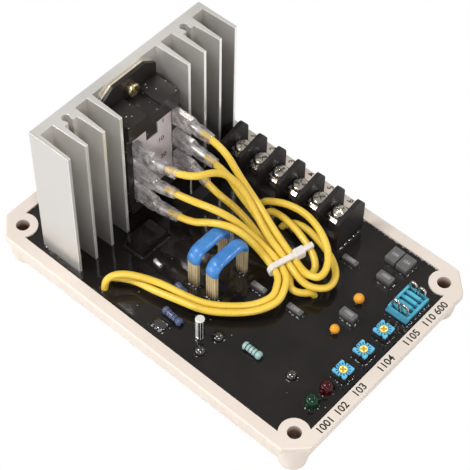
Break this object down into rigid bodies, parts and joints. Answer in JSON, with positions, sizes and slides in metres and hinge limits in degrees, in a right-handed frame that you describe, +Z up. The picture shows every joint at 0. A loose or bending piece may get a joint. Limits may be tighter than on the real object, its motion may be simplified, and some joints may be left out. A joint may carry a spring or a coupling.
{
  "type": "automatic voltage regulator",
  "caption": "Potted electronic voltage regulator in a flanged tray, with an upright finned heat sink, a power module, wired blade contacts and a screw terminal block.",
  "frame": {"origin": "middle of the four feet's lower faces", "axes": "+X along the case towards the trimmers, +Y towards the terminal block, +Z up out of the resin"},
  "size_m": [0.1494, 0.101, 0.0789],
  "materials": {
    "case_plastic": "satin, off white",
    "resin_black": "cast, glossy with soft waves",
    "board_green": "matte",
    "sink_aluminium": "extruded, bare",
    "zinc_steel": "zinc plated",
    "yellow_zinc": "yellow zinc plated",
    "plate_nickel": "nickel plated",
    "module_black": "moulded, slightly glossy",
    "face_grey": "matte",
    "tin_plate": "tin plated",
    "sleeve_clear": "translucent, smooth",
    "wire_yellow": "smooth insulation",
    "tie_white": "translucent, smooth",
    "block_black": "moulded",
    "nickel": "nickel plated, bright",
    "braid_tan": "stranded, tinned copper",
    "sleeve_blue": "shrunk on, smooth",
    "lamp_green": "clear tinted",
    "lamp_red": "clear tinted",
    "trimmer_blue": "moulded",
    "rotor_yellow": "moulded",
    "substrate_white": "matte",
    "header_teal": "moulded",
    "capacitor_grey": "moulded",
    "bead_orange": "dipped",
    "resistor_aqua": "lacquered",
    "resistor_blue": "lacquered"
  },
  "bodies": {
    "regulator": {"axial_part": "tin_plate", "bead_capacitors": "bead_orange", "box_capacitor_front": "capacitor_grey", "box_capacitor_mid": "capacitor_grey", "box_capacitors_pair": "capacitor_grey", "cable_tie": "tie_white", "case": "case_plastic", "circuit_board": "board_green", "clamp_washers": "nickel", "contacts_left": "tin_plate", "contacts_right": "tin_plate", "electrolytic_can": "sink_aluminium", "heat_sink": "sink_aluminium", "heat_sink_screws": "zinc_steel", "jumper_header": "header_teal", "jumper_wires": "nickel", "led_green": "lamp_green", "led_red": "lamp_red", "link_1_conductor": "braid_tan", "link_1_sleeve": "sleeve_blue", "link_2_conductor": "braid_tan", "link_2_sleeve": "sleeve_blue", "long_box": "module_black", "low_box": "module_black", "module_base_plate": "plate_nickel", "module_body": "module_black", "module_face": "face_grey", "module_screws": "yellow_zinc", "module_tabs_left": "tin_plate", "module_tabs_right": "tin_plate", "optocoupler": "face_grey", "potted_domes": "resin_black", "potting_resin": "resin_black", "resistor_1": "resistor_aqua", "resistor_2": "resistor_blue", "resistor_3": "resistor_blue", "sleeves_left": "sleeve_clear", "sleeves_right": "sleeve_clear", "slim_capacitor_1": "capacitor_grey", "slim_capacitor_2": "capacitor_grey", "slim_capacitor_3": "capacitor_grey", "slim_capacitor_4": "capacitor_grey", "terminal_block": "block_black", "terminal_plates": "nickel", "terminal_screws": "nickel", "trimmer_cover_1": "trimmer_blue", "trimmer_cover_2": "trimmer_blue", "trimmer_cover_3": "trimmer_blue", "trimmer_substrates": "substrate_white", "wire_1": "wire_yellow", "wire_2": "wire_yellow", "wire_3": "wire_yellow", "wire_4": "wire_yellow", "wire_5": "wire_yellow", "wire_6": "wire_yellow"},
    "rotor_1": {"trimmer_rotor_1": "rotor_yellow"},
    "rotor_2": {"trimmer_rotor_2": "rotor_yellow"},
    "rotor_3": {"trimmer_rotor_3": "rotor_yellow"}
  },
  "joints": [
    {"name": "trimmer_1_turn", "type": "hinge", "parent": "regulator", "child": "rotor_1", "pos_m": [0.0638, -0.0133, 0.0202], "axis": [0, 0, 1], "range_deg": [-105, 105]},
    {"name": "trimmer_2_turn", "type": "hinge", "parent": "regulator", "child": "rotor_2", "pos_m": [0.0638, -0.00195, 0.0202], "axis": [0, 0, 1], "range_deg": [-105, 105]},
    {"name": "trimmer_3_turn", "type": "hinge", "parent": "regulator", "child": "rotor_3", "pos_m": [0.0638, 0.0094, 0.0202], "axis": [0, 0, 1], "range_deg": [-105, 105]}
  ]
}
